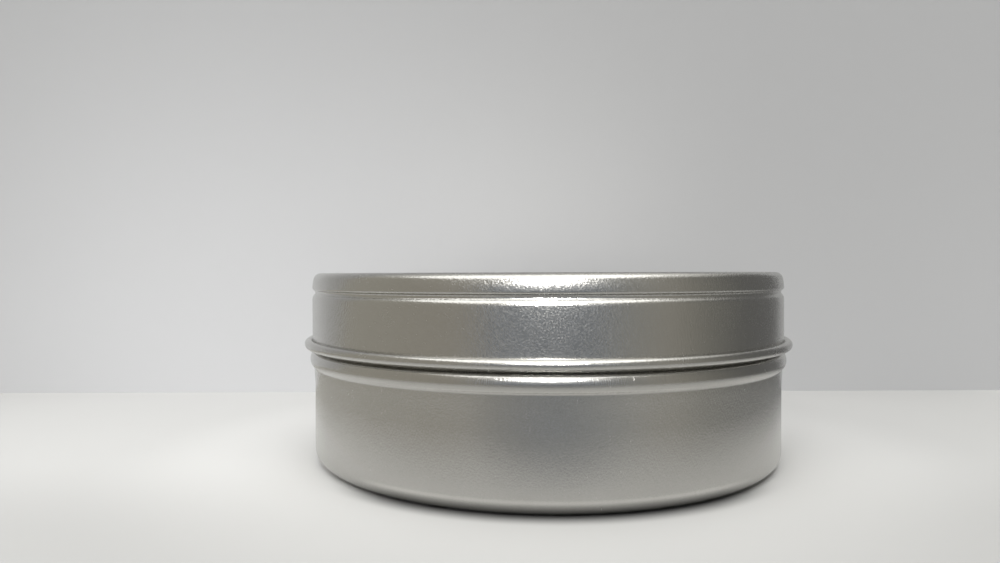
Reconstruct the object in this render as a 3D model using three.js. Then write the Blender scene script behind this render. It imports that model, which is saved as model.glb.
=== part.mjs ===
// Candle tin: a shallow cup drawn from tinplate, a slip lid that seats on the cup's rim,
// and the candle poured inside it round one wick.
//
// Lengths are in millimetres and +Z is up. The origin is the centre of the underside, so the
// closed tin stands on z = 0. Every piece is a solid of revolution about the Z axis.

import * as THREE from 'three';

// ---- Driving dimensions ---------------------------------------------------------------------

const SHEET = 0.25;                 // thickness of the tinplate in the cup and the lid
const CLOSED_HEIGHT = 31.1;         // underside of the cup to the top of the lid
const LID_RADIUS = 40;              // outside of the lid's straight skirt
const SLIP_PLAY = 0.15;             // radial play between the skirt and the neck
const PIECE_GAP = 0.05;             // left between pieces that touch on the real object

// The cup
const WALL_RADIUS = LID_RADIUS - SHEET - SLIP_PLAY;
const BASE_CORNER = 2.5;            // outside radius between the base and the wall
const PANEL_RISE = 0.4;             // the base panel stands this far above the foot ring
const PANEL_RADIUS = 33.6;
const FOOT_RING_INNER = 35;
const BEAD = { z: 17, rise: 0.76, crown: 1.55, above: 1.5, below: 1.45 };
const SHOULDER = { rise: 0.16, drop: 2.6 };   // the wall swells this much up to the bead
const RIM_CURL = 0.8;               // outside radius of the inward curl at the mouth
const RIM_SEAT_GAP = 0.03;          // left between the rim and the groove that rests on it

// The lid
const TOP_CORNER = 1.21;            // radius between the flat top and the upper band
const BAND_TILT = 15;               // the band leans in this many degrees at the top corner
const GROOVE = { z: 27.91, rise: -0.45, crown: 0.45, above: 0.8, below: 1.1 };
const SKIRT_CURL = 0.76;            // outside radius of the curl at the skirt's lower edge
const SKIRT_EDGE = 18.79;           // height of that curl's lowest point

// The candle
const WAX_LEVEL = 21.2;
const MENISCUS = 0.9;               // the wax climbs this far up the wall
const WICK_RADIUS = 1.35;
const CORE_RADIUS = 0.5;
const WICK_ABOVE_WAX = 6;
const TAB_RADIUS = 10;
const TAB_SHEET = 0.3;
const TAB_HEIGHT = 6;               // foot and collar together
const STICKER_RADIUS = 9;
const STICKER_THICKNESS = 0.5;

// Facets
const WIDE_STEPS = 48;              // round the axis, for the cup, the lid and the wax
const NARROW_STEPS = 24;            // round the axis, for the pieces of the wick
const ARC_STEP = 26;                // degrees of turn per facet along a profile
const SAME_POINT = 1e-6;

// Heights and radii that follow
const BASE_INSIDE = PANEL_RISE + SHEET;
const STICKER_BOTTOM = BASE_INSIDE + PIECE_GAP;
const STICKER_TOP = STICKER_BOTTOM + STICKER_THICKNESS;
const TAB_BOTTOM = STICKER_TOP + PIECE_GAP;
const TAB_BORE = WICK_RADIUS + PIECE_GAP;
const COLLAR_RADIUS = TAB_BORE + TAB_SHEET;
const FOOT_TOP = TAB_BOTTOM + TAB_SHEET;
const COLLAR_TOP = TAB_BOTTOM + TAB_HEIGHT;
const WICK_TOP = WAX_LEVEL + WICK_ABOVE_WAX;

// ---- Profiles -------------------------------------------------------------------------------
//
// A sheet is drawn as the trace of its outer face: radius r, height z, and the angle in degrees
// of the normal that points away from the metal, where 0 is outward from the axis and 90 is up.
// The inner face is the same trace moved in by the sheet's thickness.

const radians = THREE.MathUtils.degToRad;
const degrees = THREE.MathUtils.radToDeg;

// An arc about (r, z) along which the normal turns from one angle to another. A negative radius
// makes it hollow, with its centre on the outer side of the sheet.
function turn(r, z, radius, from, to) {
  const steps = Math.max(1, Math.round(Math.abs(to - from) / ARC_STEP));
  return Array.from({ length: steps + 1 }, (_, i) => {
    const normal = from + ((to - from) * i) / steps;
    return {
      r: r + radius * Math.cos(radians(normal)),
      z: z + radius * Math.sin(radians(normal)),
      normal,
    };
  });
}

// A bead round a wall, or with a negative rise a groove: a fillet, a crown and a fillet, each
// tangent to the next, traced upwards. The lower foot may start at a radius of its own.
function ripple(wall, { z, rise, crown, above, below }, lowerWall = wall) {
  const crest = wall + rise;
  const crownRadius = Math.sign(rise) * crown;
  const flank = (foot, halfHeight) => {
    const reach = (halfHeight ** 2 + (crest - foot) ** 2) / (2 * (crest - foot));
    return { fillet: reach - crownRadius, lean: degrees(Math.asin(halfHeight / reach)) };
  };
  const lower = flank(lowerWall, below);
  const upper = flank(wall, above);
  return [
    ...turn(lowerWall + lower.fillet, z - below, -lower.fillet, 0, -lower.lean),
    ...turn(crest - crownRadius, z, crownRadius, -lower.lean, upper.lean),
    ...turn(wall + upper.fillet, z + above, -upper.fillet, upper.lean, 0),
  ];
}

// Points of a trace moved towards the metal, without the repeats where two arcs meet.
function points(trace, inward = 0) {
  const met = (p, q) => Math.hypot(p.r - q.r, p.z - q.z) < SAME_POINT;
  return trace
    .filter((p, i) => i === 0 || !met(p, trace[i - 1]))
    .map(({ r, z, normal }) => new THREE.Vector2(
      r === 0 ? 0 : r - inward * Math.cos(radians(normal)),
      z - inward * Math.sin(radians(normal)),
    ));
}

// Along one face and back along the other, for a trace with one end on the axis.
function sheetOutline(trace) {
  const outer = points(trace);
  const inner = points(trace, SHEET).reverse();
  return trace[0].r === 0 ? [...outer, ...inner] : [...inner, ...outer];
}

// The cup from the middle of its base to the top of its bead.
function cupTrace() {
  const shoulderFoot = BEAD.z - BEAD.below - SHOULDER.drop;
  return [
    { r: 0, z: PANEL_RISE, normal: -90 },
    { r: PANEL_RADIUS, z: PANEL_RISE, normal: -90 },
    { r: FOOT_RING_INNER, z: 0, normal: -90 },
    ...turn(WALL_RADIUS - BASE_CORNER, BASE_CORNER, BASE_CORNER, -90, 0),
    { r: WALL_RADIUS, z: shoulderFoot, normal: 0 },
    ...ripple(WALL_RADIUS, BEAD, WALL_RADIUS + SHOULDER.rise),
  ];
}

// The lid's groove is rolled inward and its lower flank rests on the rim's curl, so the two
// circles are a sheet apart there. That fixes the height of the curl's centre.
function rimCentreHeight() {
  const apart = GROOVE.crown + SHEET + RIM_CURL + RIM_SEAT_GAP;
  const across = LID_RADIUS + GROOVE.rise + GROOVE.crown - (WALL_RADIUS - RIM_CURL);
  return GROOVE.z - Math.sqrt(apart ** 2 - across ** 2);
}

// A curl turns back on its own wall and its cut edge stops this many degrees before a full turn.
function curlStop(curl) {
  return degrees(Math.acos((curl - SHEET - 2 * PIECE_GAP) / curl));
}

function tinBodyOutline() {
  const rimAt = WALL_RADIUS - RIM_CURL;
  return sheetOutline([
    ...cupTrace(),
    ...turn(rimAt, rimCentreHeight(), RIM_CURL, 0, 360 - curlStop(RIM_CURL)),
  ]);
}

function lidOutline() {
  const curlAt = LID_RADIUS - SHEET + SKIRT_CURL;
  const curlInside = SKIRT_CURL - SHEET;
  const lean = radians(BAND_TILT);
  const bandFoot = GROOVE.z + GROOVE.above;
  const bandTop = CLOSED_HEIGHT - TOP_CORNER * (1 - Math.sin(lean));
  const bandCurve = (bandTop - bandFoot) / Math.sin(lean);
  const bandAt = LID_RADIUS - bandCurve;
  const cornerAt = bandAt + (bandCurve - TOP_CORNER) * Math.cos(lean);
  return sheetOutline([
    ...turn(curlAt, SKIRT_EDGE + SKIRT_CURL, -curlInside, 360 - curlStop(SKIRT_CURL), 0),
    ...ripple(LID_RADIUS, GROOVE),
    ...turn(bandAt, bandFoot, bandCurve, 0, BAND_TILT),
    ...turn(cornerAt, CLOSED_HEIGHT - TOP_CORNER, TOP_CORNER, BAND_TILT, 90),
    { r: 0, z: CLOSED_HEIGHT, normal: 90 },
  ]);
}

function corners(...pairs) {
  return pairs.map(([r, z]) => new THREE.Vector2(r, z));
}

function loop(outline) {
  return [...outline, outline[0].clone()];
}

// The wax fills the cup, bead included, and is cast round the wick and its tab.
function waxOutline() {
  const underside = points(cupTrace(), SHEET + PIECE_GAP).slice(1);
  const edge = WALL_RADIUS - SHEET - PIECE_GAP;
  const clear = (size) => size + PIECE_GAP;
  return loop([
    ...corners([clear(TAB_RADIUS), clear(BASE_INSIDE)]),
    ...underside,
    ...points(turn(edge - MENISCUS, WAX_LEVEL + MENISCUS, -MENISCUS, 180, 90)),
    ...corners(
      [clear(WICK_RADIUS), WAX_LEVEL],
      [clear(WICK_RADIUS), clear(COLLAR_TOP)],
      [clear(COLLAR_RADIUS), clear(COLLAR_TOP)],
      [clear(COLLAR_RADIUS), clear(FOOT_TOP)],
      [clear(TAB_RADIUS), clear(FOOT_TOP)],
    ),
  ]);
}

function wickTabOutline() {
  return loop(corners(
    [TAB_BORE, TAB_BOTTOM],
    [TAB_RADIUS, TAB_BOTTOM],
    [TAB_RADIUS, FOOT_TOP],
    [COLLAR_RADIUS, FOOT_TOP],
    [COLLAR_RADIUS, COLLAR_TOP],
    [TAB_BORE, COLLAR_TOP],
  ));
}

function tubeOutline(inner, outer, bottom, top) {
  return loop(corners([inner, bottom], [outer, bottom], [outer, top], [inner, top]));
}

function rodOutline(radius, bottom, top) {
  return corners([0, bottom], [radius, bottom], [radius, top], [0, top]);
}

// ---- Pieces ---------------------------------------------------------------------------------

const TINPLATE = { color: 0xb4b3ad, roughness: 0.34, metalness: 1 };
const WAX = { color: 0xf1e9d6, roughness: 0.5, metalness: 0 };
const COTTON = { color: 0xe9e2d2, roughness: 0.9, metalness: 0 };
const PAPER = { color: 0xd9cfb8, roughness: 0.95, metalness: 0 };
const FOAM = { color: 0xf2f2ee, roughness: 0.9, metalness: 0 };

const wickSheath = tubeOutline(CORE_RADIUS + PIECE_GAP, WICK_RADIUS, TAB_BOTTOM, WICK_TOP);
const wickMiddle = rodOutline(CORE_RADIUS, TAB_BOTTOM, WICK_TOP);
const foamDot = rodOutline(STICKER_RADIUS, STICKER_BOTTOM, STICKER_TOP);

// A profile turned about the Z axis: LatheGeometry turns about Y, so the mesh is stood up.
function revolved(name, outline, steps, finish) {
  const material = new THREE.MeshStandardMaterial(finish);
  const mesh = new THREE.Mesh(new THREE.LatheGeometry(outline, steps), material);
  mesh.name = name;
  mesh.rotation.x = Math.PI / 2;
  return mesh;
}

const candleTin = new THREE.Group();
candleTin.add(
  revolved('tin_body', tinBodyOutline(), WIDE_STEPS, TINPLATE),
  revolved('lid', lidOutline(), WIDE_STEPS, TINPLATE),
  revolved('wax_fill', waxOutline(), WIDE_STEPS, WAX),
  revolved('wick_tab', wickTabOutline(), NARROW_STEPS, TINPLATE),
  revolved('wick_sticker', foamDot, NARROW_STEPS, FOAM),
  revolved('wick_braid', wickSheath, NARROW_STEPS, COTTON),
  revolved('wick_core', wickMiddle, NARROW_STEPS, PAPER),
);

export default candleTin;
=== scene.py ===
import math

import bpy
from mathutils import Matrix, Vector, noise


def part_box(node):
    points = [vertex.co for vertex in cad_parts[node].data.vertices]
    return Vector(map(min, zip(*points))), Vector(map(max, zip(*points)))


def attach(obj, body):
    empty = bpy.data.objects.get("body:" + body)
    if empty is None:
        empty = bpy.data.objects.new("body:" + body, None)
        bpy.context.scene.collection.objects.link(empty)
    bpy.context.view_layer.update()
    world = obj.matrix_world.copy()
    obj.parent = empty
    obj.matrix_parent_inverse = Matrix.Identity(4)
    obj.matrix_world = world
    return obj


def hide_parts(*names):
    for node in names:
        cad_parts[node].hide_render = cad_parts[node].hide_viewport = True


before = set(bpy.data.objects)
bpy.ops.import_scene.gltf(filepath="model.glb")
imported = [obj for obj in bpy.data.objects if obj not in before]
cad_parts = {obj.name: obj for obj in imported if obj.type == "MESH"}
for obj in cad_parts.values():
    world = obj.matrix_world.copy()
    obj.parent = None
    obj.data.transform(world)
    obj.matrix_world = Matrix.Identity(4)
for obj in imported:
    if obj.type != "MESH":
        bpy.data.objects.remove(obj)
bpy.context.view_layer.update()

# The candle tin is a cup and a slip lid drawn from tinplate, with the poured candle inside.
# Shapes are worked out in millimetres from the boxes of the CAD nodes, and go into Blender
# in metres. Every round piece is a profile turned about the Z axis.

MM = 0.001


def box_mm(node):
    low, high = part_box(node)
    return low / MM, high / MM


# ---- Sizes ----------------------------------------------------------------------------------

LID_LOW, LID_HIGH = box_mm("lid")
CUP_LOW, CUP_HIGH = box_mm("tin_body")
WAX_LOW, WAX_HIGH = box_mm("wax_fill")
TAB_LOW, TAB_HIGH = box_mm("wick_tab")
DOT_LOW, DOT_HIGH = box_mm("wick_sticker")
BRAID_LOW, BRAID_HIGH = box_mm("wick_braid")
CORE_LOW, CORE_HIGH = box_mm("wick_core")

SHEET = 0.25                    # thickness of the tinplate
SLIP_PLAY = 0.15                # radial play between the lid's skirt and the neck
PIECE_GAP = 0.05                # between pieces that touch
TINY = 1e-6                     # closer than this is the same point, or on the axis

SKIRT_CURL = 0.76               # outside radius of the lid's curl
LID_RADIUS = LID_HIGH.x - 2 * SKIRT_CURL + SHEET
TOP_CORNER = 1.21
BAND_TILT = 15.0                # the upper band leans in this far at the top corner
GROOVE_BELOW_TOP = 3.19         # down to its deepest line
GROOVE_DEPTH = 0.45
# Bends of the groove's and the bead's flanks, as (radius, lean reached in degrees). A negative
# radius is hollow, and a negative lean faces down.
GROOVE_ABOVE = ((-0.45, -58.7),)
GROOVE_BELOW = ((-0.45, 44.5),)

WALL_RADIUS = LID_RADIUS - SHEET - SLIP_PLAY
BEAD_BELOW_CURL = 1.79          # from the curl's lowest point to the crest of the bead
BEAD_RISE = CUP_HIGH.x - WALL_RADIUS
BEAD_ABOVE = ((2.2, 24.0), (1.3, 50.0))
BEAD_BELOW = ((1.55, -45.0),)
SHOULDER_RISE = 0.16            # the wall swells this much up to the bead
SHOULDER_DROP = 2.6
BASE_CORNER = 2.5
FOOT_RING_INNER = 35.0
PANEL_RADIUS = 33.6
PANEL_RISE = 0.4
RIM_CURL = 0.8

MENISCUS = 0.9                  # how far the wax climbs the wall
WAX_LEVEL = WAX_HIGH.z - MENISCUS

ARC_STEP = 9.0                  # degrees of turn per facet along a profile
ROUND_STEPS = 288               # facets round the axis of the cup and the lid
WAX_STEPS = 192
SMALL_STEPS = 96                # of the wick's tab and sticker
FLAT_STEP = 2.0                 # ring spacing on the flat panels, so that they can be uneven


# ---- Profiles -------------------------------------------------------------------------------
#
# A trace is a list of (r, z, normal): a point on the sheet's outer face and the angle of its
# normal in degrees, where 0 points away from the axis and 90 points up.

def steps_for(size, step):
    """How many steps, each no longer than step, cover the size."""
    return max(1, math.ceil(abs(size) / step))


def turn(r, z, radius, start, end):
    """An arc about (r, z) as its normal turns; a negative radius makes it hollow."""
    count = steps_for(end - start, ARC_STEP)
    trace = []
    for i in range(count + 1):
        normal = start + (end - start) * i / count
        angle = math.radians(normal)
        trace.append((r + radius * math.cos(angle), z + radius * math.sin(angle), normal))
    return trace


def straight(start, end, normal, step=FLAT_STEP):
    """Points from start to end at about a step apart, both ends included."""
    length = math.hypot(end[0] - start[0], end[1] - start[1])
    count = steps_for(length, step)
    shares = [i / count for i in range(count + 1)]
    return [
        (start[0] + (end[0] - start[0]) * t, start[1] + (end[1] - start[1]) * t, normal)
        for t in shares
    ]


def flank(r, z, bends, wall):
    """From a crest at (r, z), bend by bend, then through a fillet on to a straight wall."""
    trace = [(r, z, 0.0)]
    for radius, lean in bends:
        r, z, normal = trace[-1]
        angle = math.radians(normal)
        centre = (r - radius * math.cos(angle), z - radius * math.sin(angle))
        trace += turn(*centre, radius, normal, lean)
    r, z, lean = trace[-1]
    angle = math.radians(lean)
    fillet = (wall - r) / (1 - math.cos(angle))
    return trace + turn(wall - fillet, z - fillet * math.sin(angle), fillet, lean, 0.0)


def joined(*traces):
    """The traces end to end, with straight stretches filled in and repeated points left out."""
    whole = []
    for point in (p for trace in traces for p in trace):
        if whole:
            last = whole[-1]
            length = math.hypot(point[0] - last[0], point[1] - last[1])
            if length < TINY:
                continue
            if length > FLAT_STEP:
                whole += straight(last[:2], point[:2], last[2])[1:-1]
        whole.append(point)
    return whole


def blank_radii(trace):
    """Where each point of a drawn sheet lay on its flat round blank: the area inside is kept."""
    from_axis = trace[0][0] < TINY
    points = trace if from_axis else trace[::-1]
    doubled_area = 0.0
    radii = [0.0]
    for (r0, z0, _), (r1, z1, _) in zip(points, points[1:]):
        doubled_area += (r0 + r1) * math.hypot(r1 - r0, z1 - z0)
        radii.append(math.sqrt(doubled_area))
    return radii if from_axis else radii[::-1]


def moved_in(point, distance):
    """Where a traced point lands this far in from the outer face."""
    r, z, normal = point
    angle = math.radians(normal)
    inside = 0.0 if r < TINY else r - distance * math.cos(angle)
    return inside, z - distance * math.sin(angle)


def sheet_outline(trace):
    """(r, z, blank radius) round the metal: one face, the cut edge, and back along the other."""
    radii = blank_radii(trace)
    outer = [(p[0], p[1], b) for p, b in zip(trace, radii)]
    inner = [(*moved_in(p, SHEET), b) for p, b in zip(trace, radii)][::-1]
    return outer + inner if trace[0][0] < TINY else inner + outer


def curl_stop(curl):
    """A curl's cut edge stops this many degrees short of a full turn, just clear of its wall."""
    return math.degrees(math.acos((curl - SHEET - PIECE_GAP) / curl))


def cup_trace():
    """The cup's outer face, from the axis under the base up to the top of the neck."""
    crest = (WALL_RADIUS + BEAD_RISE, LID_LOW.z - BEAD_BELOW_CURL)
    under_bead = flank(*crest, BEAD_BELOW, WALL_RADIUS + SHOULDER_RISE)[::-1]
    return joined(
        [(0.0, PANEL_RISE, -90.0), (PANEL_RADIUS, PANEL_RISE, -90.0)],
        [(FOOT_RING_INNER, CUP_LOW.z, -90.0)],
        turn(WALL_RADIUS - BASE_CORNER, CUP_LOW.z + BASE_CORNER, BASE_CORNER, -90, 0),
        [(WALL_RADIUS, under_bead[0][1] - SHOULDER_DROP, 0.0)],
        under_bead,
        flank(*crest, BEAD_ABOVE, WALL_RADIUS),
    )


def cup_outline():
    """The cup's sheet, with its neck turned over into an inward curl."""
    rim_at = WALL_RADIUS - RIM_CURL
    rim = turn(rim_at, CUP_HIGH.z - RIM_CURL, RIM_CURL, 0, 360 - curl_stop(RIM_CURL))
    return sheet_outline(joined(cup_trace(), rim))


def lid_outline():
    """The lid's sheet, from the outward curl at its lower edge up to the middle of its top."""
    curl_at = LID_RADIUS - SHEET + SKIRT_CURL
    deepest = (LID_RADIUS - GROOVE_DEPTH, LID_HIGH.z - GROOVE_BELOW_TOP)
    groove_top = flank(*deepest, GROOVE_ABOVE, LID_RADIUS)
    lean = math.radians(BAND_TILT)
    band_foot = groove_top[-1][1]
    band_top = LID_HIGH.z - TOP_CORNER * (1 - math.sin(lean))
    band_curve = (band_top - band_foot) / math.sin(lean)
    band_at = LID_RADIUS - band_curve
    corner_at = band_at + (band_curve - TOP_CORNER) * math.cos(lean)
    curl_inside = SKIRT_CURL - SHEET
    return sheet_outline(joined(
        turn(curl_at, LID_LOW.z + SKIRT_CURL, -curl_inside, 360 - curl_stop(SKIRT_CURL), 0),
        flank(*deepest, GROOVE_BELOW, LID_RADIUS)[::-1],
        groove_top,
        turn(band_at, band_foot, band_curve, 0, BAND_TILT),
        turn(corner_at, LID_HIGH.z - TOP_CORNER, TOP_CORNER, BAND_TILT, 90),
        [(0.0, LID_HIGH.z, 90.0)],
    ))


# ---- Meshes ---------------------------------------------------------------------------------

def mesh_piece(name, verts, faces, uvs=None, sharp=35.0):
    """A closed mesh object from millimetre points, smooth except across edges over sharp."""
    mesh = bpy.data.meshes.new(name)
    mesh.from_pydata([(x * MM, y * MM, z * MM) for x, y, z in verts], [], faces)
    if uvs:
        layer = mesh.uv_layers.new(name="blank")
        for loop in mesh.loops:
            layer.data[loop.index].uv = uvs[loop.vertex_index]
    mesh.update()
    mesh.shade_smooth()
    mesh.set_sharp_from_angle(angle=math.radians(sharp))
    piece = bpy.data.objects.new(name, mesh)
    bpy.context.scene.collection.objects.link(piece)
    return piece


def revolve(name, outline, steps, warp=None, sharp=35.0):
    """Turns an outline, run anticlockwise with r to the right, about the Z axis.

    Points on the axis become one vertex each. warp(r, z, angle) gives (dr, dz)."""
    verts, uvs, rings = [], [], []
    for r, z, blank in outline:
        if r < TINY:
            dz = warp(r, z, 0.0)[1] if warp else 0.0
            rings.append([len(verts)] * steps)
            verts.append((0.0, 0.0, z + dz))
            uvs.append((0.0, 0.0))
            continue
        rings.append(range(len(verts), len(verts) + steps))
        for j in range(steps):
            angle = 2 * math.pi * j / steps
            dr, dz = warp(r, z, angle) if warp else (0.0, 0.0)
            c, s = math.cos(angle), math.sin(angle)
            verts.append(((r + dr) * c, (r + dr) * s, z + dz))
            uvs.append((blank * c, blank * s))
    on_axis = outline[0][0] < TINY
    above = rings[1:] if on_axis else rings[1:] + rings[:1]
    faces = []
    for low, high in zip(rings, above):
        for j in range(steps):
            k = (j + 1) % steps
            corners = (low[j], low[k], high[k], high[j])
            faces.append(tuple(dict.fromkeys(corners)))
    return mesh_piece(name, verts, faces, uvs, sharp)


# Thin drawn sheet is never quite true. These are its small departures, in millimetres. A WAVE
# is the size of a buckle and the seed that sets where it falls. A SPAN is where a departure
# starts and where it is full.

ROUND_ERROR = 0.03
ROUND_SWELLS = ((0.5, 3, 0.7), (0.3, 5, 2.1))  # (share, rises round the tin, phase)
CUP_ROUND_SPAN = (20.0, 36.0)   # out from the axis: the middle of the base stays put

LID_PANEL_ERROR = 0.16
LID_PANEL_WAVE = (16.0, 3.1)
LID_PANEL_SPAN = (1.5, 9.0)     # in from the lid's radius
LID_TOP_SHEET = 1.0             # the top panel's two faces lie within this much of the top
CUP_PANEL_ERROR = 0.08
CUP_PANEL_WAVE = (14.0, 5.5)
CUP_PANEL_SPAN = 8.0            # in from the raised base panel's radius
CUP_BASE_SPAN = (2.0, 1.0)      # down, above the plane the tin stands on

WALL_ERROR = 0.035
LID_WALL_WAVE = (9.0, 7.3)
SKIRT_TOP_SPAN = (1.0, 3.0)     # down from the groove
SKIRT_FOOT_SPAN = (1.8, 3.5)    # up from the curl's lowest point
CUP_WALL_WAVE = (9.0, 1.9)
CUP_FOOT_SPAN = (1.5, 5.0)      # up from the plane the tin stands on
CUP_TOP_SPAN = (3.4, 6.0)       # down from the lid's curl, so that the bead stays true
CUP_SIDE_SPAN = (38.5, 39.0)    # out from the axis, so that only the side wall waves


def fade(value, start, end):
    """0 at start, 1 at end, smooth between, whichever way round they are."""
    t = max(0.0, min(1.0, (value - start) / (end - start)))
    return t * t * (3 - 2 * t)


def out_of_round(angle):
    """The same for the cup and the lid, so that they keep their clearance. Never outwards."""
    swell = sum(share * math.sin(rises * angle + phase) for share, rises, phase in ROUND_SWELLS)
    most = sum(share for share, _, _ in ROUND_SWELLS)
    return ROUND_ERROR * (swell - most) / 2


def buckle(r, angle, z, size, seed):
    """A smooth uneven rise and fall over the surface, between about -1 and 1."""
    point = Vector((r * math.cos(angle) / size, r * math.sin(angle) / size, z / size + seed))
    return noise.noise(point)


def fade_up(value, base, span):
    """fade() over a span measured up or out from a base."""
    return fade(value, base + span[0], base + span[1])


def fade_down(value, base, span):
    """fade() over a span measured down or in from a base."""
    return fade(value, base - span[0], base - span[1])


def lid_warp(r, z, angle):
    """Out of round all over, with a top panel that dips and a skirt that waves."""
    groove_z = LID_HIGH.z - GROOVE_BELOW_TOP
    panel = fade_down(r, LID_RADIUS, LID_PANEL_SPAN)
    panel *= fade(z, groove_z, LID_HIGH.z - LID_TOP_SHEET)
    dip = LID_PANEL_ERROR * (buckle(r, angle, 0, *LID_PANEL_WAVE) - 1) / 2
    skirt = fade_down(z, groove_z, SKIRT_TOP_SPAN) * fade_up(z, LID_LOW.z, SKIRT_FOOT_SPAN)
    wave = WALL_ERROR * buckle(r, angle, z, *LID_WALL_WAVE) if r > WALL_RADIUS else 0.0
    return out_of_round(angle) + wave * skirt, dip * panel


def cup_warp(r, z, angle):
    """Out of round but for its middle, with a base panel that lifts and a wall that waves."""
    wall = fade(z, *CUP_FOOT_SPAN) * fade_down(z, LID_LOW.z, CUP_TOP_SPAN) * fade(r, *CUP_SIDE_SPAN)
    wave = WALL_ERROR * buckle(r, angle, z, *CUP_WALL_WAVE)
    panel = fade(r, PANEL_RADIUS, PANEL_RADIUS - CUP_PANEL_SPAN) * fade(z, *CUP_BASE_SPAN)
    lift = CUP_PANEL_ERROR * (buckle(r, angle, 0, *CUP_PANEL_WAVE) + 1) / 2
    round_share = fade(r, *CUP_ROUND_SPAN)
    return out_of_round(angle) * round_share + wave * wall, lift * panel


def build_cup():
    return revolve("tin_body_drawn", cup_outline(), ROUND_STEPS, cup_warp)


def build_lid():
    return revolve("lid_drawn", lid_outline(), ROUND_STEPS, lid_warp)


# ---- The candle -----------------------------------------------------------------------------

BRAID_RADIUS = BRAID_HIGH.x
COLLAR_OUTSIDE = BRAID_RADIUS + 0.35
FOOT_SHEET = 0.3
SINK = 0.35                     # the wax surface dips towards the wick as it sets
SINK_RADIUS = 15.0
MENISCUS_WIDTH = 3.2
WICK_MENISCUS = 0.5
WICK_MENISCUS_WIDTH = 1.6
WAX_RINGS = 90                  # rings of vertices across the wax surface
WAX_RIPPLES = ((0.10, 7.0, 9.4), (0.03, 2.2, 4.4))  # (height, size, seed)
WAX_SKIN_SPAN = (1.0, 0.5)      # down from the wax level, so that only the surface ripples
RIPPLE_WICK_SPAN = (0.2, 2.0)   # out from the braid
RIPPLE_WALL_SPAN = (0.4, 2.0)   # in from the cup's wall


def wax_surface(r):
    """Height of the set wax at radius r."""
    edge = WALL_RADIUS - SHEET - PIECE_GAP
    near_wall = fade(r, edge - MENISCUS_WIDTH, edge)
    near_wick = fade(r, BRAID_RADIUS + WICK_MENISCUS_WIDTH, BRAID_RADIUS)
    dish = SINK * math.exp(-((r / SINK_RADIUS) ** 2))
    return WAX_LEVEL + MENISCUS * near_wall**2 - dish + WICK_MENISCUS * near_wick**2


def wax_warp(r, z, angle):
    """Slight ripples on the open surface, which die out at the wick and at the wall."""
    surface = fade_down(z, WAX_LEVEL, WAX_SKIN_SPAN)
    ripple = sum(high * buckle(r, angle, 0, size, seed) for high, size, seed in WAX_RIPPLES)
    inner = fade_up(r, BRAID_RADIUS, RIPPLE_WICK_SPAN) * fade_down(r, WALL_RADIUS, RIPPLE_WALL_SPAN)
    return 0.0, ripple * surface * inner


def wax_outline():
    """Up the inside of the cup, in across the surface, and down round the wick and its tab."""
    clear = PIECE_GAP
    past_tab = TAB_HIGH.x + 1
    under = [moved_in(p, SHEET + clear) for p in cup_trace() if p[0] > past_tab]
    edge = WALL_RADIUS - SHEET - clear
    wick = BRAID_RADIUS + clear
    radii = [edge + (wick - edge) * i / WAX_RINGS for i in range(WAX_RINGS + 1)]
    top = [(r, wax_surface(r)) for r in radii]
    tab_top = TAB_LOW.z + FOOT_SHEET + clear
    recess = [
        (wick, TAB_HIGH.z + clear),
        (COLLAR_OUTSIDE + clear, TAB_HIGH.z + clear),
        (COLLAR_OUTSIDE + clear, tab_top),
        (TAB_HIGH.x + clear, tab_top),
        (TAB_HIGH.x + clear, WAX_LOW.z + PANEL_RISE),
    ]
    return [(r, z, r) for r, z in under + top + recess]


def build_wax():
    return revolve("wax_poured", wax_outline(), WAX_STEPS, wax_warp, sharp=50.0)


CRIMP_HEIGHT = 4.0              # above the tab's foot
CRIMP_HALF = 1.1
CRIMP_DEPTH = 0.16
CRIMP_JAWS = 4
CRIMP_SPAN = (1.0, 0.1)         # in towards the collar's outside
WICK_SQUEEZE = 0.14             # the share of its radius that the wick loses in the crimp

TAB_EDGE = 0.1                  # bevel round the tab's foot
TAB_BEND = 0.35                 # fillet between the foot and the collar
TAB_FLAT = 0.6                  # flat border of the foot
TAB_RINGS = 40                  # rings of vertices across the foot
TAB_RING_AT = 6.5               # radius of its stiffening ring
TAB_RING_HALF = 1.0
TAB_RING_RISE = 0.12
COLLAR_RINGS = 24
BEND_STEP = 15                  # degrees per facet of the small bends


def pinch(z):
    """0 to 1: how hard the collar grips the wick at height z."""
    return math.exp(-(((z - TAB_LOW.z - CRIMP_HEIGHT) / CRIMP_HALF) ** 4))


def tab_warp(r, z, angle):
    """Four jaws press the collar in and leave it full between them."""
    collar = fade_up(r, COLLAR_OUTSIDE, CRIMP_SPAN)
    jaw = 0.5 + 0.5 * math.cos(CRIMP_JAWS * angle)
    return -CRIMP_DEPTH * pinch(z) * collar * jaw**2, 0.0


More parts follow.
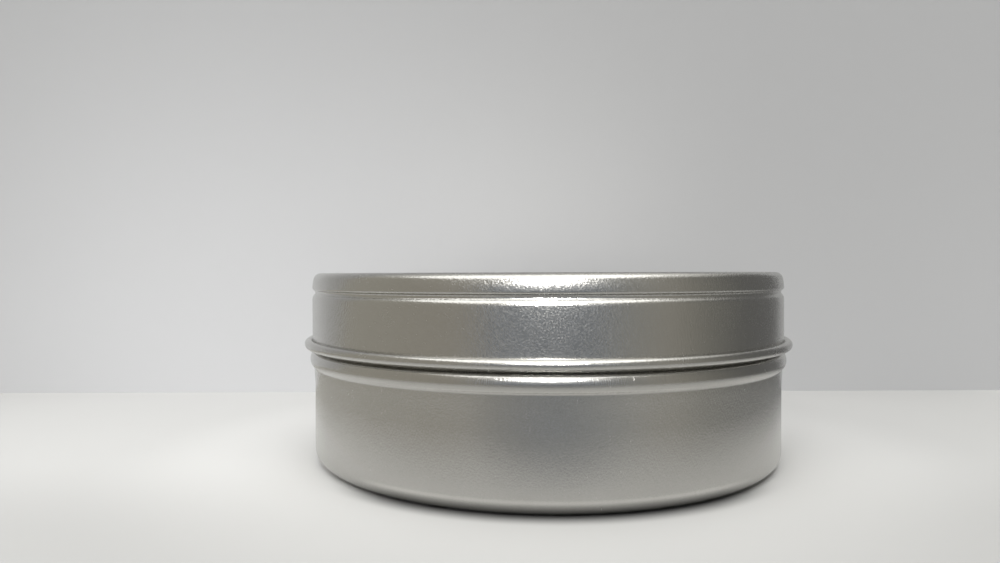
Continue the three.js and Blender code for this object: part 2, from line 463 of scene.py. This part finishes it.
def tab_outline():
    """A flat foot with a stiffening ring, drawn up through a fillet into the collar."""
    bore = BRAID_RADIUS + PIECE_GAP
    foot, top = TAB_LOW.z, TAB_HIGH.z
    face = foot + FOOT_SHEET
    rim, border = TAB_HIGH.x, TAB_HIGH.x - TAB_EDGE
    outline = [(border, foot), (rim, foot + TAB_EDGE), (rim, face - TAB_EDGE), (border, face)]
    start = TAB_HIGH.x - TAB_FLAT
    for i in range(TAB_RINGS + 1):
        r = start - (start - COLLAR_OUTSIDE - TAB_BEND) * i / TAB_RINGS
        off = (r - TAB_RING_AT) / TAB_RING_HALF
        swell = 0.0 if abs(off) > 1.0 else 0.5 + 0.5 * math.cos(math.pi * off)
        outline.append((r, face + TAB_RING_RISE * swell))
    for degrees in range(BEND_STEP, 91, BEND_STEP):
        a = math.radians(degrees)
        r = COLLAR_OUTSIDE + TAB_BEND * (1 - math.sin(a))
        outline.append((r, face + TAB_BEND * (1 - math.cos(a))))
    rise = top - face - TAB_BEND
    for i in range(1, COLLAR_RINGS + 1):
        outline.append((COLLAR_OUTSIDE, face + TAB_BEND + rise * i / COLLAR_RINGS))
    for i in range(COLLAR_RINGS + 1):
        outline.append((bore, top - (top - foot) * i / COLLAR_RINGS))
    return [(r, z, r) for r, z in outline]


def build_tab():
    return revolve("wick_tab_pressed", tab_outline(), SMALL_STEPS, tab_warp)


STICKER_BULGE = 0.12
STICKER_RINGS = 12
STICKER_UNEVEN = 0.04           # its edge is in or out by up to this much
STICKER_WAVE = (1.6, 2.2)


def build_sticker():
    """A foam dot between two adhesive faces: its edge bulges where the tab presses on it."""
    low, high = DOT_LOW.z, DOT_HIGH.z
    half = (high - low) / 2
    middle = (high + low) / 2
    radius = DOT_HIGH.x - STICKER_BULGE
    edge = [
        (radius + STICKER_BULGE * math.cos(a), middle + half * math.sin(a))
        for a in (math.radians(d) for d in range(-90, 91, BEND_STEP))
    ]
    flat = [radius * i / STICKER_RINGS for i in range(STICKER_RINGS)]
    outline = [(r, low) for r in flat] + edge + [(r, high) for r in reversed(flat)]

    def warp(r, z, angle):
        uneven = STICKER_UNEVEN * buckle(r, angle, 0, *STICKER_WAVE)
        return uneven * fade(r, radius - 1, radius), 0.0

    return revolve("wick_sticker_foam", [(r, z, r) for r, z in outline], SMALL_STEPS, warp)


STRANDS_EACH_WAY = 5
BRAID_PITCH = 8.5               # a strand climbs this far in one turn
STRAND_THICK = 0.21             # half the strand's depth, in and out
STRAND_WIDE = 0.44              # half its width, round the wick
STRAND_WAVE = 0.17              # how far it moves in and out as it passes under and over
STRAND_RINGS = 220
STRAND_SIDES = 10

CORE_PITCH = 3.4
CORE_LOBES = 5
CORE_LOBE_DEPTH = 0.14          # as a share of the core's radius
CORE_RINGS = 160
CORE_SIDES = 40


def tube(path, sides, cross):
    """A closed tube with flat ends. cross(i, a) gives the offset vector at path point i."""
    verts, faces = [], []
    for i, centre in enumerate(path):
        for j in range(sides):
            verts.append(tuple(centre + cross(i, 2 * math.pi * j / sides)))
    for i in range(len(path) - 1):
        for j in range(sides):
            k = (j + 1) % sides
            a, b = i * sides, (i + 1) * sides
            faces.append((a + j, a + k, b + k, b + j))
    last = (len(path) - 1) * sides
    faces.append(tuple(range(sides))[::-1])
    faces.append(tuple(range(last, last + sides)))
    return verts, faces


def strand(direction, share):
    """One strand of the braid, passing over and under those that turn the other way."""
    low, high = BRAID_LOW.z, BRAID_HIGH.z
    middle = BRAID_RADIUS - STRAND_THICK - STRAND_WAVE
    path, frames = [], []
    for i in range(STRAND_RINGS + 1):
        z = low + (high - low) * i / STRAND_RINGS
        climb = z / BRAID_PITCH
        angle = 2 * math.pi * (direction * climb + share)
        weave = math.cos(2 * math.pi * STRANDS_EACH_WAY * climb)
        grip = 1 - WICK_SQUEEZE * pinch(z)
        radius = (middle + direction * STRAND_WAVE * weave) * grip
        out = Vector((math.cos(angle), math.sin(angle), 0))
        across = Vector((0, 0, 1)).cross(out)
        path.append(out * radius + Vector((0, 0, z)))
        frames.append((out * grip, across))

    def cross(i, a):
        out, across = frames[i]
        return out * (STRAND_THICK * math.cos(a)) + across * (STRAND_WIDE * math.sin(a))

    return tube(path, STRAND_SIDES, cross)


def build_braid():
    verts, faces = [], []
    for direction in (1, -1):
        for i in range(STRANDS_EACH_WAY):
            more, sides = strand(direction, i / STRANDS_EACH_WAY)
            faces += [tuple(len(verts) + v for v in face) for face in sides]
            verts += more
    return mesh_piece("wick_braid_strands", verts, faces, sharp=60.0)


def build_core():
    """Paper twisted into a cord: a lobed rod whose lobes wind up it."""
    low, high = CORE_LOW.z, CORE_HIGH.z
    radius = CORE_HIGH.x
    rise = high - low
    path = [Vector((0, 0, low + rise * i / CORE_RINGS)) for i in range(CORE_RINGS + 1)]

    def cross(i, a):
        twist = 2 * math.pi * path[i].z / CORE_PITCH
        lobe = radius * (1 - CORE_LOBE_DEPTH + CORE_LOBE_DEPTH * math.cos(CORE_LOBES * a))
        grip = 1 - WICK_SQUEEZE * pinch(path[i].z)
        return Vector((math.cos(a + twist), math.sin(a + twist), 0)) * lobe * grip

    return mesh_piece("wick_core_twisted", *tube(path, CORE_SIDES, cross), sharp=60.0)


# ---- Materials ------------------------------------------------------------------------------

class Nodes:
    """Short calls for building the node tree of a material or a world."""

    def __init__(self, owner):
        owner.use_nodes = True
        self.owner = owner
        self.tree = owner.node_tree
        self.surface = self.tree.nodes.get("Principled BSDF")

    def add(self, kind, **settings):
        node = self.tree.nodes.new(kind)
        for key, value in settings.items():
            setattr(node, key, value)
        return node

    def link(self, value, socket):
        """Feeds a socket from another socket or from a plain value."""
        if isinstance(value, bpy.types.NodeSocket):
            self.tree.links.new(value, socket)
        else:
            socket.default_value = value

    def stretched(self, source, lengths, rotation=0.0):
        """Coordinates that pass one unit in each of these lengths, along axes turned about Z."""
        mapping = self.add("ShaderNodeMapping", vector_type="TEXTURE")
        mapping.inputs["Scale"].default_value = lengths
        mapping.inputs["Rotation"].default_value = (0, 0, math.radians(rotation))
        self.link(source, mapping.inputs["Vector"])
        return mapping.outputs["Vector"]

    def object_mm(self):
        """The place on the piece, in millimetres."""
        return self.stretched(self.add("ShaderNodeTexCoord").outputs["Object"], (MM, MM, MM))

    def split(self, vector):
        node = self.add("ShaderNodeSeparateXYZ")
        self.link(vector, node.inputs[0])
        return node.outputs

    def blank_mm(self):
        """The place on the flat blank that the piece was drawn from, in millimetres."""
        return self.add("ShaderNodeUVMap", uv_map="blank").outputs["UV"]

    def noise(self, vector, scale, detail=2.0, roughness=0.5):
        node = self.add("ShaderNodeTexNoise")
        node.inputs["Scale"].default_value = scale
        node.inputs["Detail"].default_value = detail
        node.inputs["Roughness"].default_value = roughness
        self.link(vector, node.inputs["Vector"])
        return node.outputs["Fac"]

    def ramp(self, value, low, high, out_low, out_high):
        """Smoothly from out_low to out_high, as the value goes from low to high."""
        node = self.add("ShaderNodeMapRange", interpolation_type="SMOOTHSTEP")
        limits = {"From Min": low, "From Max": high, "To Min": out_low, "To Max": out_high}
        for key, limit in limits.items():
            self.link(limit, node.inputs[key])
        self.link(value, node.inputs["Value"])
        return node.outputs["Result"]

    def math(self, operation, a, b=0.0):
        node = self.add("ShaderNodeMath", operation=operation)
        self.link(a, node.inputs[0])
        self.link(b, node.inputs[1])
        return node.outputs[0]

    def mix(self, share, a, b):
        node = self.add("ShaderNodeMix", data_type="RGBA")
        self.link(share, node.inputs["Factor"])
        self.link((*a, 1) if isinstance(a, tuple) else a, node.inputs["A"])
        self.link((*b, 1) if isinstance(b, tuple) else b, node.inputs["B"])
        return node.outputs["Result"]

    def bump(self, height, depth_mm, below=None):
        node = self.add("ShaderNodeBump")
        node.inputs["Distance"].default_value = depth_mm * MM
        self.link(height, node.inputs["Height"])
        if below is not None:
            self.link(below, node.inputs["Normal"])
        return node.outputs["Normal"]

    def set(self, **values):
        """Feeds inputs of the surface by name."""
        for key, value in values.items():
            socket = self.surface.inputs[key.replace("_", " ").title().replace("Ior", "IOR")]
            self.link(value, socket)


def new_material(name):
    return Nodes(bpy.data.materials.new(name))


# The size along the grain and across it, and depths below the surface, in millimetres.
GRAIN_SIZE = (1.6, 0.24, 1)
SCRATCH_SIZE = (1.3, 0.15, 1)
SCRATCH_TURN = 6                # degrees from the grain
SCRATCH_DEPTH = 0.004
TIN_DARK = (0.475, 0.468, 0.445)
TIN_LIGHT = (0.51, 0.503, 0.485)
TIN_IN_GRAIN = (0.44, 0.432, 0.41)
TIN_ROUGHNESS = (0.18, 0.20)
SCRATCH_ROUGHNESS = 0.06


def tinplate(name, grain_angle, grain_depth, tooth_depth, sparkle):
    """Satin tinplate: rolling grain along the blank, a fine tooth, faint smears, scratches."""
    n = new_material(name)
    blank = n.blank_mm()
    place = n.object_mm()
    grain = n.noise(n.stretched(blank, GRAIN_SIZE, grain_angle), scale=1.0, roughness=0.6)
    tooth = n.noise(place, scale=3.8, detail=1.0)
    smear = n.noise(place, scale=0.09)
    along = n.stretched(blank, SCRATCH_SIZE, grain_angle + SCRATCH_TURN)
    lines = n.noise(along, scale=1.0, detail=1.0)
    patchy = n.ramp(n.noise(place, scale=0.11, detail=1.0), 0.40, 0.62, 0.06, 0.0)
    scratch = n.ramp(n.math("SUBTRACT", lines, patchy), 0.66, 0.76, 0.0, 1.0)
    normal = n.bump(grain, grain_depth)
    normal = n.bump(tooth, tooth_depth, below=normal)
    normal = n.bump(scratch, -SCRATCH_DEPTH, below=normal)
    colour = n.mix(smear, TIN_DARK, TIN_LIGHT)
    colour = n.mix(n.ramp(grain, 0.3, 0.7, 0.0, 0.3), colour, TIN_IN_GRAIN)
    glint = n.noise(place, scale=5.0, detail=0.0)
    rough = n.ramp(smear, 0.3, 0.7, *TIN_ROUGHNESS)
    rough = n.math("ADD", rough, n.ramp(scratch, 0.0, 1.0, 0.0, SCRATCH_ROUGHNESS))
    rough = n.math("ADD", rough, n.ramp(glint, 0.35, 0.70, 0.0, sparkle))
    n.set(metallic=1.0, base_color=colour, roughness=rough)
    n.link(normal, n.surface.inputs["Normal"])
    return n.owner


def poured_wax():
    """Creamy container wax: faintly frosted, with a soft sheen and light scattered inside it."""
    n = new_material("wax_surface")
    place = n.object_mm()
    frost = n.noise(place, scale=0.16, detail=4.0, roughness=0.6)
    speckle = n.noise(place, scale=2.6, detail=3.0, roughness=0.6)
    pits = n.ramp(n.noise(place, scale=1.1, detail=0.0), 0.14, 0.30, 1.0, 0.0)
    colour = n.mix(n.ramp(frost, 0.3, 0.7, 0.0, 1.0), (0.88, 0.81, 0.67), (0.92, 0.87, 0.76))
    normal = n.bump(speckle, depth_mm=0.02)
    normal = n.bump(pits, depth_mm=-0.03, below=normal)
    n.set(
        base_color=colour,
        roughness=n.ramp(frost, 0.35, 0.7, 0.34, 0.52),
        subsurface_weight=0.35,
        ior=1.44,
    )
    n.surface.inputs["Subsurface Radius"].default_value = (1.0, 0.75, 0.5)
    n.surface.inputs["Subsurface Scale"].default_value = 2.0 * MM
    n.link(normal, n.surface.inputs["Normal"])
    return n.owner


def fibre(name, dark, light, along, across, depth):
    """Threads or paper fibre running up the piece, along and across in millimetres."""
    n = new_material(name)
    place = n.object_mm()
    lengths = (across, across, along)
    thread = n.noise(n.stretched(place, lengths), scale=1.0, detail=3.0, roughness=0.65)
    stain = n.noise(place, scale=0.5)
    colour = n.mix(n.ramp(thread, 0.35, 0.65, 0.0, 1.0), dark, light)
    colour = n.mix(n.ramp(stain, 0.3, 0.7, 0.0, 0.25), colour, dark)
    n.set(base_color=colour, roughness=n.ramp(thread, 0.3, 0.7, 0.75, 0.95))
    n.link(n.bump(thread, depth), n.surface.inputs["Normal"])
    return n.owner


def foam():
    """White closed-cell foam."""
    n = new_material("sticker_foam")
    place = n.object_mm()
    cells = n.add("ShaderNodeTexVoronoi")
    cells.inputs["Scale"].default_value = 4.0
    n.link(place, cells.inputs["Vector"])
    cell = cells.outputs["Distance"]
    colour = n.mix(n.ramp(cell, 0.1, 0.7, 0.0, 1.0), (0.80, 0.80, 0.76), (0.93, 0.93, 0.90))
    n.set(base_color=colour, roughness=n.ramp(cell, 0.0, 0.8, 0.7, 0.92))
    n.link(n.bump(cell, depth_mm=0.05), n.surface.inputs["Normal"])
    return n.owner


def paper_stage(name, tone):
    """Plain matt stage surface, with a very faint mottle."""
    n = new_material(name)
    mottle = n.noise(n.object_mm(), scale=0.03)
    darker = tuple(t * 0.985 for t in tone)
    n.set(base_color=n.mix(mottle, darker, tone), roughness=0.85)
    n.surface.inputs["Specular IOR Level"].default_value = 0.15
    return n


def darken(n, share):
    """Takes this share of the light out of a surface's colour."""
    lit = n.surface.inputs["Base Color"].links[0].from_socket
    n.set(base_color=n.mix(share, lit, (0.0, 0.0, 0.0)))


def use(material, piece):
    piece.data.materials.clear()
    piece.data.materials.append(material)


# ---- Assembly -------------------------------------------------------------------------------

TINPLATE_CUP = tinplate(
    "tinplate_cup", grain_angle=85.0, grain_depth=0.022, tooth_depth=0.011, sparkle=0.03
)
TINPLATE_LID = tinplate(
    "tinplate_lid", grain_angle=-52.0, grain_depth=0.014, tooth_depth=0.023, sparkle=0.08
)
TAB_STEEL = tinplate(
    "tab_steel", grain_angle=60.0, grain_depth=0.012, tooth_depth=0.021, sparkle=0.03
)
METALS = (TINPLATE_CUP, TINPLATE_LID, TAB_STEEL)
COTTON = fibre(
    "wick_cotton",
    dark=(0.70, 0.62, 0.47),
    light=(0.88, 0.83, 0.72),
    along=1.25,
    across=0.14,
    depth=0.03,
)
PAPER = fibre(
    "wick_paper",
    dark=(0.60, 0.50, 0.36),
    light=(0.78, 0.70, 0.56),
    along=0.67,
    across=0.20,
    depth=0.02,
)

# (builder, body it rides on, CAD node it stands for, material slot, material)
PIECES = (
    (build_cup, "tin", "tin_body", "body_tinplate", TINPLATE_CUP),
    (build_lid, "lid", "lid", "lid_tinplate", TINPLATE_LID),
    (build_wax, "tin", "wax_fill", "wax", poured_wax()),
    (build_tab, "tin", "wick_tab", "tab_steel", TAB_STEEL),
    (build_sticker, "tin", "wick_sticker", "sticker_foam", foam()),
    (build_braid, "tin", "wick_braid", "wick_cotton", COTTON),
    (build_core, "tin", "wick_core", "wick_paper", PAPER),
)

# What the lamp lights, and what the two stage lights light.
lamp_lit = bpy.data.collections.new("lamp_lit")
stage_lit = bpy.data.collections.new("stage_lit")

for build, body, node, slot, material in PIECES:
    piece = build()
    use(material, piece)
    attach(piece, body)
    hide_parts(node)
    if material in METALS:
        lamp_lit.objects.link(piece)


# ---- Stage, light and camera ----------------------------------------------------------------

RADIUS = LID_RADIUS * MM
WALL_BEHIND = 1.57 * RADIUS     # the backdrop stands this far behind the tin's axis
BACKDROP_LEFT = -7.0 * RADIUS
BACKDROP_RIGHT = 3.3 * RADIUS
BACKDROP_HEIGHT = 5.0 * RADIUS
FADE_WIDTH = 0.6 * RADIUS
FLOOR_HALF = 40 * RADIUS
FLOOR_SEEN = (1.05 * RADIUS, 3.0 * RADIUS)  # in the metal the floor fades out between these
FLOOR_TONE = (0.83, 0.828, 0.82)
BACKDROP_TONE = (0.61, 0.612, 0.624)
BACKDROP_SHADE = 0.13           # the board is this much darker towards its top
BACKDROP_SHADE_TOP = 3.0 * RADIUS

# Radiance of the dim room as the tin sees it, by azimuth in degrees from straight in front
# of the tin, with the right side positive.
ROOM = (
    (-130, (0.49, 0.475, 0.425)),
    (-90, (0.46, 0.44, 0.385)),
    (-45, (0.405, 0.38, 0.33)),
    (0, (0.32, 0.34, 0.365)),
    (30, (0.345, 0.35, 0.34)),
    (53, (0.40, 0.38, 0.335)),
    (76, (0.25, 0.245, 0.22)),
    (98, (0.16, 0.16, 0.155)),
    (140, (0.19, 0.19, 0.19)),
)
ROOM_SEEN = (0.55, 0.55, 0.55)
CEILING_FROM = (0.50, 0.85)     # sine of the elevation where the ceiling starts and is full
CEILING_LEFT = (0.72, 0.72, 0.69)
CEILING_RIGHT = (1.10, 1.09, 1.04)
CEILING_TURNS = (-0.1, 0.5)     # from left to right, as the part of a direction along X

LAMP_AZIMUTH = -2.0             # degrees from straight in front of the tin
LAMP_ELEVATION = 26.0
LAMP_AWAY = 1.5
LAMP_WIDTH = 0.13
LAMP_IRRADIANCE = 3.5
LAMP_TONE = (1.0, 0.99, 0.97)

PANEL_AT = (-0.135, -0.50, 0.80)  # a level light panel over the front of the tin, in metres
PANEL_SIZE = (1.38, 0.95)
PANEL_RADIANCE = 1.6
PANEL_TONE = (1.0, 1.0, 0.985)

OVERHEAD_HEIGHT = 0.70          # a soft box straight over the tin that lights only the stage
OVERHEAD_SIZE = 0.8
OVERHEAD_RADIANCE = 1.2
OVERHEAD_TONE = (1.0, 1.0, 1.0)
AIM_NUDGE = 0.001               # a light aimed down looks this far back, which settles its turn

GLOW_AT = (-1.5, 1.5, 0.0)      # where the stage is lightest, in lid radii, left of the tin
GLOW_AZIMUTH = -20.0
GLOW_ELEVATION = 33.0
GLOW_AWAY = 0.6                 # in metres, as are the other lights' distances and sizes
GLOW_CONE = 22.0
GLOW_POWER = 5.5                # in watts
GLOW_SOURCE = 0.05

# Painted shade and a painted gleam on the floor. A REACH is where a shade or the gleam starts
# and where it is full, and a DEPTH is the share of the light it takes.
SHADE_AT = (-0.1, -2.7)         # the middle of the camera's own soft shade, in lid radii
SHADE_REACH = (0.5 * RADIUS, 1.7 * RADIUS)  # this one is full inside and gone outside
SHADE_DEPTH = 0.62
DULL_DEPTH = 0.23               # everywhere but in the gleam, which only reflections see
GLEAM_REACH = (1.15 * RADIUS, 1.06 * RADIUS)
AWAY_REACH = (1.0 * RADIUS, 1.9 * RADIUS)  # away from the tin
AWAY_DEPTH = 0.19
NEAR_REACH = (-0.2 * RADIUS, -1.15 * RADIUS)  # towards the camera
NEAR_DEPTH = 0.14
CONTACT_REACH = (1.055 * RADIUS, 0.965 * RADIUS)  # under the tin's base corner
CONTACT_DEPTH = 0.66
# The gleam and the contact shade are only in front of the tin. These are the cosines of the
# azimuths where they start and are full.
FOOT_FACES = (0.55, 0.85)

CARD_BEHIND = 3.45 * RADIUS     # a dim card just behind the camera, mirrored low in the tin
CARD_LEFT = -2.1 * RADIUS
CARD_RIGHT = 1.75 * RADIUS
CARD_SOFT = 1.0 * RADIUS        # its ends fade out over this much
CARD_TOP = 1.5 * RADIUS
CARD_TONE = (0.475, 0.515, 0.59)


def rectangle(name, corners, material):
    """A flat stage piece. Its front is the side its corners run anticlockwise on."""
    mesh = bpy.data.meshes.new(name)
    mesh.from_pydata(corners, [], [(0, 1, 2, 3)])
    plane = bpy.data.objects.new(name, mesh)
    bpy.context.scene.collection.objects.link(plane)
    plane.data.materials.append(material)
    stage_lit.objects.link(plane)
    return plane


def see_through(nodes, share):
    """Mixes a stage surface with plain transparency, by share."""
    clear = nodes.add("ShaderNodeBsdfTransparent")
    mix = nodes.add("ShaderNodeMixShader")
    output = nodes.tree.nodes["Material Output"]
    nodes.link(share, mix.inputs[0])
    nodes.link(nodes.surface.outputs[0], mix.inputs[1])
    nodes.link(clear.outputs[0], mix.inputs[2])
    nodes.link(mix.outputs[0], output.inputs["Surface"])


def floor_material():
    """Pale floor with painted shade: a contact shadow under the front of the tin's foot, and darker
    away from the tin and towards the camera. All rays but the camera's find a painted soft shade
    of the camera on it. In the metal it shows a painted gleam in front of the foot, and it ends a
    little way off, where a dim room begins."""
    n = paper_stage("floor_paper", FLOOR_TONE)
    place = n.add("ShaderNodeNewGeometry").outputs["Position"]

    def distance(x, y):
        node = n.add("ShaderNodeVectorMath", operation="DISTANCE")
        n.link(place, node.inputs[0])
        n.link((x * RADIUS, y * RADIUS, 0.0), node.inputs[1])
        return node.outputs["Value"]

    rays = n.add("ShaderNodeLightPath").outputs
    shade = n.ramp(distance(*SHADE_AT), *SHADE_REACH, SHADE_DEPTH, 0.0)
    shade = n.math("SUBTRACT", shade, rays["Is Camera Ray"])
    from_tin = distance(0.0, 0.0)
    y = n.split(place)["Y"]
    facing = n.math("DIVIDE", n.math("MULTIPLY", y, -1.0), from_tin)
    gleam = n.math("MULTIPLY", n.ramp(from_tin, *GLEAM_REACH, 0.0, 1.0), rays["Is Glossy Ray"])
    gleam = n.math("MULTIPLY", gleam, n.ramp(facing, *FOOT_FACES, 0.0, 1.0))
    darken(n, n.ramp(gleam, 0.0, 1.0, DULL_DEPTH, 0.0))
    darken(n, n.math("MAXIMUM", shade, n.ramp(from_tin, *AWAY_REACH, 0.0, AWAY_DEPTH)))
    darken(n, n.ramp(y, *NEAR_REACH, 0.0, NEAR_DEPTH))
    contact = n.ramp(facing, *FOOT_FACES, 0.0, CONTACT_DEPTH)
    darken(n, n.ramp(from_tin, *CONTACT_REACH, 0.0, contact))
    beyond = n.ramp(from_tin, *FLOOR_SEEN, 0.0, 1.0)
    see_through(n, n.math("MULTIPLY", beyond, rays["Is Glossy Ray"]))
    return n.owner


def backdrop_material():
    """Pale board with painted shade, darker towards its top, seen only from its front. To all
    but the camera it fades out at its ends.
    """
    n = paper_stage("backdrop_paper", BACKDROP_TONE)
    geometry = n.add("ShaderNodeNewGeometry")
    x, _, z = n.split(geometry.outputs["Position"])
    darken(n, n.ramp(z, 0.0, BACKDROP_SHADE_TOP, 0.0, BACKDROP_SHADE))
    right = n.ramp(x, BACKDROP_RIGHT - FADE_WIDTH, BACKDROP_RIGHT, 0.0, 1.0)
    left = n.ramp(x, BACKDROP_LEFT + FADE_WIDTH, BACKDROP_LEFT, 0.0, 1.0)
    ends = n.math("MAXIMUM", right, left)
    ends = n.math("SUBTRACT", ends, n.add("ShaderNodeLightPath").outputs["Is Camera Ray"])
    see_through(n, n.math("MAXIMUM", ends, geometry.outputs["Backfacing"]))
    return n.owner


def card_material():
    """Dim bluish card that fades out at its ends."""
    n = paper_stage("card_paper", CARD_TONE)
    x = n.split(n.add("ShaderNodeNewGeometry").outputs["Position"])["X"]
    right = n.ramp(x, CARD_RIGHT - CARD_SOFT, CARD_RIGHT, 0.0, 1.0)
    left = n.ramp(x, CARD_LEFT + CARD_SOFT, CARD_LEFT, 0.0, 1.0)
    see_through(n, n.math("MAXIMUM", right, left))
    return n.owner


def upright(name, y, start, end, top, material):
    """A rectangle standing on the floor, from x = start to x = end."""
    corners = [(start, y, 0), (end, y, 0), (end, y, top), (start, y, top)]
    return rectangle(name, corners, material)


def build_stage():
    """The floor, the board behind the tin, and the card behind the camera, facing the tin."""
    half = FLOOR_HALF
    corners = [(-half, -half, 0), (half, -half, 0), (half, half, 0), (-half, half, 0)]
    rectangle("floor", corners, floor_material())
    board = (WALL_BEHIND, BACKDROP_LEFT, BACKDROP_RIGHT, BACKDROP_HEIGHT)
    upright("backdrop", *board, backdrop_material())
    card = upright("shade_card", -CARD_BEHIND, CARD_RIGHT, CARD_LEFT, CARD_TOP, card_material())
    card.visible_camera = False


def light_room():
    """A dim room, lighter to the left of the tin and overhead. The camera sees it as pale grey."""
    n = Nodes(bpy.data.worlds.new("room"))
    toward = n.split(n.add("ShaderNodeTexCoord").outputs["Generated"])
    azimuth = n.math("ARCTAN2", toward["X"], n.math("MULTIPLY", toward["Y"], -1.0))
    tone = n.add("ShaderNodeValToRGB")
    n.link(n.math("ADD", n.math("DIVIDE", azimuth, 2 * math.pi), 0.5), tone.inputs["Fac"])
    stops = tone.color_ramp.elements
    while len(stops) < len(ROOM):
        stops.new(0.5)
    for stop, (degrees, colour) in zip(stops, ROOM):
        stop.position = (degrees + 180) / 360
        stop.color = (*colour, 1)
    overhead = n.ramp(toward["Z"], *CEILING_FROM, 0.0, 1.0)
    ceiling = n.mix(n.ramp(toward["X"], *CEILING_TURNS, 0.0, 1.0), CEILING_LEFT, CEILING_RIGHT)
    room = n.mix(overhead, tone.outputs["Color"], ceiling)
    seen = n.mix(n.add("ShaderNodeLightPath").outputs["Is Camera Ray"], room, ROOM_SEEN)
    n.link(seen, n.tree.nodes["Background"].inputs["Color"])
    bpy.context.scene.world = n.owner


def direction(azimuth, elevation):
    """Unit vector from the tin, by degrees to the right of straight in front and degrees up."""
    across, up = math.radians(azimuth), math.radians(elevation)
    return Vector((
        math.sin(across) * math.cos(up),
        -math.cos(across) * math.cos(up),
        math.sin(up),
    ))


def aim(thing, place, target):
    """Puts a thing at a place, looking at the target."""
    thing.location = place
    thing.rotation_mode = "QUATERNION"
    thing.rotation_quaternion = (target - place).to_track_quat("-Z", "Y")


def area_light(name, place, target, size, radiance, colour):
    """A rectangular light, unseen by the camera, of the given radiance."""
    data = bpy.data.lights.new(name, "AREA")
    data.shape = "RECTANGLE"
    data.size, data.size_y = size
    data.energy = radiance * math.pi * size[0] * size[1]
    data.color = colour
    light = bpy.data.objects.new(name, data)
    light.visible_camera = False
    bpy.context.scene.collection.objects.link(light)
    aim(light, place, target)
    return light


def light_tin():
    """A small far lamp in front of the tin, above the camera, and a big soft panel above that."""
    out = direction(LAMP_AZIMUTH, LAMP_ELEVATION)
    lid_top = Vector((0, 0, LID_HIGH.z * MM))
    radiance = LAMP_IRRADIANCE * (LAMP_AWAY / LAMP_WIDTH) ** 2
    size = (LAMP_WIDTH, LAMP_WIDTH)
    place = lid_top + out * LAMP_AWAY
    lamp = area_light("lamp", place, lid_top, size, radiance, LAMP_TONE)
    lamp.light_linking.receiver_collection = lamp_lit
    over = Vector(PANEL_AT)
    below = Vector((over.x, over.y + AIM_NUDGE, 0))
    area_light("panel", over, below, PANEL_SIZE, PANEL_RADIANCE, PANEL_TONE)


def light_stage():
    """Two lights that fall only on the stage pieces."""
    over = Vector((0, 0, OVERHEAD_HEIGHT))
    size = (OVERHEAD_SIZE, OVERHEAD_SIZE)
    below = Vector((0, AIM_NUDGE, 0))
    box = area_light("overhead", over, below, size, OVERHEAD_RADIANCE, OVERHEAD_TONE)
    box.light_linking.receiver_collection = stage_lit
    data = bpy.data.lights.new("glow", "SPOT")
    data.energy = GLOW_POWER
    data.spot_size = math.radians(GLOW_CONE)
    data.spot_blend = 1.0
    data.shadow_soft_size = GLOW_SOURCE
    glow = bpy.data.objects.new("glow", data)
    bpy.context.scene.collection.objects.link(glow)
    target = Vector(GLOW_AT) * RADIUS
    aim(glow, target + direction(GLOW_AZIMUTH, GLOW_ELEVATION) * GLOW_AWAY, target)
    glow.light_linking.receiver_collection = stage_lit


CAMERA_AWAY = 3.316             # in lid radii, from the tin's axis
CAMERA_LEFT = 0.1953
CAMERA_BELOW_TOP = 0.0053
CAMERA_PITCH = -0.575           # degrees: a little down
CAMERA_ROLL = -0.165
CAMERA_LENS = 26.81             # mm, as is the width of the sensor
CAMERA_SENSOR = 36.0
CAMERA_CLIP = (0.005, 20.0)     # metres


def place_camera():
    """Close to the tin with a wide lens, level with the top of the lid."""
    data = bpy.data.cameras.new("camera")
    data.lens = CAMERA_LENS
    data.sensor_width = CAMERA_SENSOR
    data.clip_start, data.clip_end = CAMERA_CLIP
    camera = bpy.data.objects.new("camera", data)
    bpy.context.scene.collection.objects.link(camera)
    camera.location = (
        -CAMERA_LEFT * RADIUS,
        -CAMERA_AWAY * RADIUS,
        LID_HIGH.z * MM - CAMERA_BELOW_TOP * RADIUS,
    )
    level = Matrix.Rotation(math.radians(90 + CAMERA_PITCH), 4, "X")
    roll = Matrix.Rotation(math.radians(CAMERA_ROLL), 4, "Z")
    camera.rotation_mode = "QUATERNION"
    camera.rotation_quaternion = (level @ roll).to_quaternion()
    bpy.context.scene.camera = camera


build_stage()
light_room()
light_tin()
light_stage()
place_camera()
bpy.context.scene.view_settings.view_transform = "Standard"
